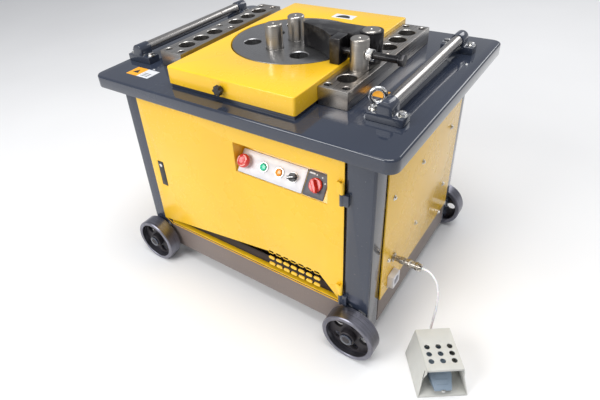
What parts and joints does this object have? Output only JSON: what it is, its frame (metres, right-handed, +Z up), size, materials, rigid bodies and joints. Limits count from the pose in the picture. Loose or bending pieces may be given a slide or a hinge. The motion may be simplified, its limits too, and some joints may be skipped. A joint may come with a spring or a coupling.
{
  "type": "rebar bender",
  "caption": "Bending machine for reinforcing bar: wheeled cabinet with control door, geared pin turntable, stop arm, pin rails, side rollers and a cabled foot pedal.",
  "frame": {"origin": "on the floor, under the middle of the whole object's box, the foot pedal included", "axes": "+Z up, +X to the operator's right, -Y towards the operator, who stands at the door"},
  "size_m": [1.2358, 0.8104, 0.857],
  "materials": {
    "dark_paint": "glossy blue-black enamel",
    "yellow_paint": "semi-gloss yellow enamel",
    "grey_paint": "satin brown-grey primer enamel",
    "ground_steel": "ground, lightly oiled",
    "black_oxide": "black oxide",
    "zinc": "bright zinc plate",
    "cast_iron": "machined and cast",
    "black_plastic": "matt black",
    "white_plastic": "satin white",
    "red_plastic": "glossy red",
    "green_plastic": "glossy green",
    "orange_plastic": "glossy orange",
    "hood_paint": "satin light grey",
    "treadle_paint": "satin blue-grey",
    "cable_sheath": "translucent white PVC",
    "rubber": "matt"
  },
  "bodies": {
    "root": {"base_beam_front": "grey_paint", "base_beam_rear": "grey_paint", "base_beam_left": "grey_paint", "base_beam_right": "grey_paint", "floor_pan": "grey_paint", "leg_front_left": "dark_paint", "leg_front_right": "dark_paint", "leg_rear_left": "dark_paint", "leg_rear_right": "dark_paint", "table_top": "dark_paint", "side_panel_left": "yellow_paint", "side_panel_right": "yellow_paint", "rear_panel": "yellow_paint", "turntable_cover": "yellow_paint", "rail_left": "ground_steel", "rail_right": "ground_steel", "bearing_block_front_left": "dark_paint", "bearing_block_rear_left": "dark_paint", "bearing_block_front_right": "dark_paint", "bearing_block_rear_right": "dark_paint", "eye_bolt": "cast_iron", "drive_belt": "rubber", "gearbox_housing": "cast_iron", "motor_body": "cast_iron", "electrical_box": "hood_paint", "power_socket": "white_plastic", "cable_gland": "zinc", "pedal_cable": "cable_sheath", "pedal_hood": "hood_paint", "pedal_base": "hood_paint"},
    "door": {"door": "yellow_paint", "control_plate": "white_plastic", "switch_plate": "black_plastic"},
    "e_stop": {"e_stop": "red_plastic"},
    "start_button": {"start_button": "green_plastic"},
    "reverse_button": {"reverse_button": "orange_plastic"},
    "selector": {"selector_knob": "black_plastic"},
    "main_switch": {"main_switch": "red_plastic"},
    "latch": {"door_latch": "black_plastic"},
    "cover_knob": {"cover_knob": "black_plastic"},
    "turntable": {"turntable_disc": "ground_steel", "worm_wheel": "cast_iron"},
    "centre_pin": {"centre_pin": "ground_steel"},
    "bending_pin": {"bending_pin": "ground_steel"},
    "worm": {"worm_shaft": "cast_iron", "driven_pulley": "cast_iron"},
    "motor_rotor": {"motor_pulley": "cast_iron"},
    "stop_post": {"stop_pin": "ground_steel", "lock_nut": "zinc"},
    "stop_slide": {"stop_pad": "black_oxide"},
    "stop_screw": {"stop_bolt": "black_oxide"},
    "arm": {"bending_arm": "black_oxide"},
    "arm_pin": {"arm_pin": "ground_steel"},
    "roller_left": {"roller_left": "ground_steel"},
    "roller_right": {"roller_right": "ground_steel"},
    "wheel_front_left": {"wheel_front_left": "cast_iron"},
    "wheel_front_right": {"wheel_front_right": "cast_iron"},
    "wheel_rear_left": {"wheel_rear_left": "cast_iron"},
    "wheel_rear_right": {"wheel_rear_right": "cast_iron"},
    "treadle": {"pedal_treadle": "treadle_paint"}
  },
  "joints": [
    {"name": "door_hinge", "type": "hinge", "parent": "root", "child": "door", "pos_m": [0.2346, -0.34877, 0.4], "axis": [0, 0, 1], "range_deg": [0, 90]},
    {"name": "e_stop_press", "type": "slide", "parent": "door", "child": "e_stop", "axis": [0, 0.809, -0.5878], "range_m": [0, 0.004]},
    {"name": "start_press", "type": "slide", "parent": "door", "child": "start_button", "axis": [0, 0.809, -0.5878], "range_m": [0, 0.004], "stiffness_N_per_m": 800},
    {"name": "reverse_press", "type": "slide", "parent": "door", "child": "reverse_button", "axis": [0, 0.809, -0.5878], "range_m": [0, 0.004], "stiffness_N_per_m": 800},
    {"name": "selector_turn", "type": "hinge", "parent": "door", "child": "selector", "pos_m": [0.0716, -0.31761, 0.53212], "axis": [0, -0.809, 0.5878], "range_deg": [-45, 45]},
    {"name": "main_switch_turn", "type": "hinge", "parent": "door", "child": "main_switch", "pos_m": [0.1421, -0.31761, 0.53212], "axis": [0, -0.809, 0.5878], "range_deg": [-50, 40]},
    {"name": "latch_lift", "type": "hinge", "parent": "door", "child": "latch", "pos_m": [-0.4509, -0.33927, 0.4225], "axis": [-1, 0, 0], "range_deg": [0, 55], "stiffness_Nm_per_rad": 0.05},
    {"name": "cover_knob_turn", "type": "hinge", "parent": "root", "child": "cover_knob", "pos_m": [-0.1349, -0.34577, 0.755], "axis": [0, 1, 0], "range_deg": [-180, 180]},
    {"name": "worm_spin", "type": "hinge", "parent": "root", "child": "worm", "pos_m": [-0.2929, 0.00323, 0.56], "axis": [0, 1, 0], "range_deg": [-10730, 2436]},
    {"name": "turntable_spin", "type": "hinge", "parent": "root", "child": "turntable", "pos_m": [-0.1179, 0.00323, 0.7], "axis": [0, 0, 1], "range_deg": [-185, 42]},
    {"name": "motor_spin", "type": "hinge", "parent": "root", "child": "motor_rotor", "pos_m": [-0.2929, 0.21423, 0.1763], "axis": [0, 1, 0], "range_deg": [-32190, 7308]},
    {"name": "centre_pin_lift", "type": "slide", "parent": "turntable", "child": "centre_pin", "axis": [0, 0, 1], "range_m": [0, 0.12]},
    {"name": "bending_pin_lift", "type": "slide", "parent": "turntable", "child": "bending_pin", "axis": [0, 0, 1], "range_m": [0, 0.12]},
    {"name": "stop_post_lift", "type": "slide", "parent": "root", "child": "stop_post", "axis": [0, 0, 1], "range_m": [0, 0.14]},
    {"name": "stop_slide_travel", "type": "slide", "parent": "stop_post", "child": "stop_slide", "axis": [1, 0, 0], "range_m": [0, 0.015]},
    {"name": "stop_screw_turn", "type": "hinge", "parent": "stop_slide", "child": "stop_screw", "pos_m": [0.1821, -0.09677, 0.816], "axis": [1, 0, 0], "range_deg": [0, 2160]},
    {"name": "arm_swing", "type": "hinge", "parent": "root", "child": "arm", "pos_m": [0.1414, -0.02677, 0.8], "axis": [0, 0, 1], "range_deg": [-25, 0]},
    {"name": "arm_pin_lift", "type": "slide", "parent": "root", "child": "arm_pin", "axis": [0, 0, 1], "range_m": [0, 0.14]},
    {"name": "roller_left_spin", "type": "hinge", "parent": "root", "child": "roller_left", "pos_m": [-0.5579, 0.01923, 0.757], "axis": [0, 1, 0], "continuous": true},
    {"name": "roller_right_spin", "type": "hinge", "parent": "root", "child": "roller_right", "pos_m": [0.2871, 0.01923, 0.757], "axis": [0, 1, 0], "continuous": true},
    {"name": "wheel_front_left_spin", "type": "hinge", "parent": "root", "child": "wheel_front_left", "pos_m": [-0.5179, -0.37177, 0.082], "axis": [0, 1, 0], "continuous": true},
    {"name": "wheel_front_right_spin", "type": "hinge", "parent": "root", "child": "wheel_front_right", "pos_m": [0.2821, -0.37177, 0.082], "axis": [0, 1, 0], "continuous": true},
    {"name": "wheel_rear_left_spin", "type": "hinge", "parent": "root", "child": "wheel_rear_left", "pos_m": [-0.5179, 0.34823, 0.082], "axis": [0, 1, 0], "continuous": true},
    {"name": "wheel_rear_right_spin", "type": "hinge", "parent": "root", "child": "wheel_rear_right", "pos_m": [0.2821, 0.34823, 0.082], "axis": [0, 1, 0], "continuous": true},
    {"name": "treadle_press", "type": "hinge", "parent": "root", "child": "treadle", "pos_m": [0.49747, -0.27549, 0.046], "axis": [0.807, 0.5906, 0], "range_deg": [0, 7], "stiffness_Nm_per_rad": 60, "springref_deg": -6.88}
  ],
  "couplings": [
    {"joint": "turntable_spin", "follows": "worm_spin", "ratio": 0.017241},
    {"joint": "motor_spin", "follows": "worm_spin", "ratio": 3},
    {"joint": "stop_screw_turn", "follows": "stop_slide_travel", "rad_per_m": 2513.3}
  ]
}
